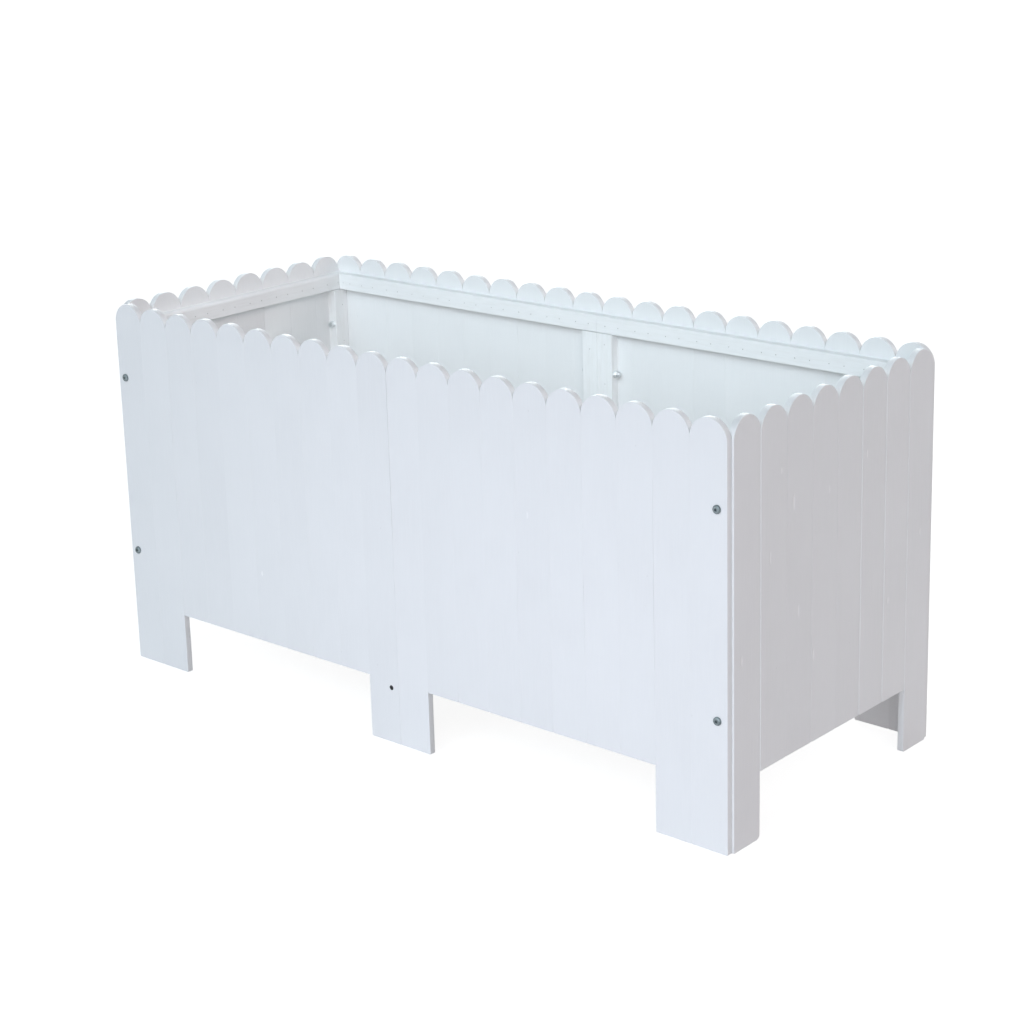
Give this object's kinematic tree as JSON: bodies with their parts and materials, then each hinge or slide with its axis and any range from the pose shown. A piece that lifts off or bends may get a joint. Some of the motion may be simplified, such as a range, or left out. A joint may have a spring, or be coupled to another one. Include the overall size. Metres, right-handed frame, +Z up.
{
  "type": "raised garden bed",
  "caption": "Free-standing white-painted wooden raised garden bed with walls of upright half-round picket boards, board legs, an open top and a slatted floor.",
  "frame": {"origin": "on the ground under the middle of the bed", "axes": "+X along the length to the viewer's right, +Y from the front to the back, +Z up"},
  "size_m": [1.206, 0.5068, 0.6],
  "materials": {
    "board_wood": "white garden paint on smooth softwood boards, satin, seams partly bridged by paint",
    "frame_wood": "white garden paint on planed softwood rails, posts and battens, satin",
    "floor_wood": "thin white paint on softwood slats, matt",
    "zinc_steel": "dark zinc-plated steel bolts, nuts and washers",
    "black_screw": "black phosphated steel wood screw",
    "brad_steel": "bare steel wire brads set below the surface"
  },
  "bodies": {
    "root": {"back_brads": "brad_steel", "back_left_boards": "board_wood", "back_left_bottom_rail": "frame_wood", "back_left_joining_batten": "frame_wood", "back_left_top_rail": "frame_wood", "back_leg_board_01": "board_wood", "back_leg_board_02": "board_wood", "back_leg_board_10": "board_wood", "back_leg_board_11": "board_wood", "back_leg_board_19": "board_wood", "back_leg_board_20": "board_wood", "back_right_boards": "board_wood", "back_right_bottom_rail": "frame_wood", "back_right_joining_batten": "frame_wood", "back_right_top_rail": "frame_wood", "bearer_screws": "black_screw", "bolt_nuts": "zinc_steel", "bolt_washers": "zinc_steel", "corner_bolts": "zinc_steel", "cross_bearer": "floor_wood", "floor_slat_notched_left": "floor_wood", "floor_slat_notched_right": "floor_wood", "floor_slats_left": "floor_wood", "floor_slats_right": "floor_wood", "front_brads": "brad_steel", "front_left_boards": "board_wood", "front_left_bottom_rail": "frame_wood", "front_left_joining_batten": "frame_wood", "front_left_top_rail": "frame_wood", "front_leg_board_01": "board_wood", "front_leg_board_02": "board_wood", "front_leg_board_10": "board_wood", "front_leg_board_11": "board_wood", "front_leg_board_19": "board_wood", "front_leg_board_20": "board_wood", "front_right_boards": "board_wood", "front_right_bottom_rail": "frame_wood", "front_right_joining_batten": "frame_wood", "front_right_top_rail": "frame_wood", "joining_bolts": "zinc_steel", "left_back_corner_post": "frame_wood", "left_back_leg_board": "board_wood", "left_bottom_rail": "frame_wood", "left_brads": "brad_steel", "left_front_corner_post": "frame_wood", "left_front_leg_board": "board_wood", "left_post_brads": "brad_steel", "left_side_boards": "board_wood", "left_top_rail": "frame_wood", "right_back_corner_post": "frame_wood", "right_back_leg_board": "board_wood", "right_bottom_rail": "frame_wood", "right_brads": "brad_steel", "right_front_corner_post": "frame_wood", "right_front_leg_board": "board_wood", "right_post_brads": "brad_steel", "right_side_boards": "board_wood", "right_top_rail": "frame_wood"}
  },
  "joints": []
}
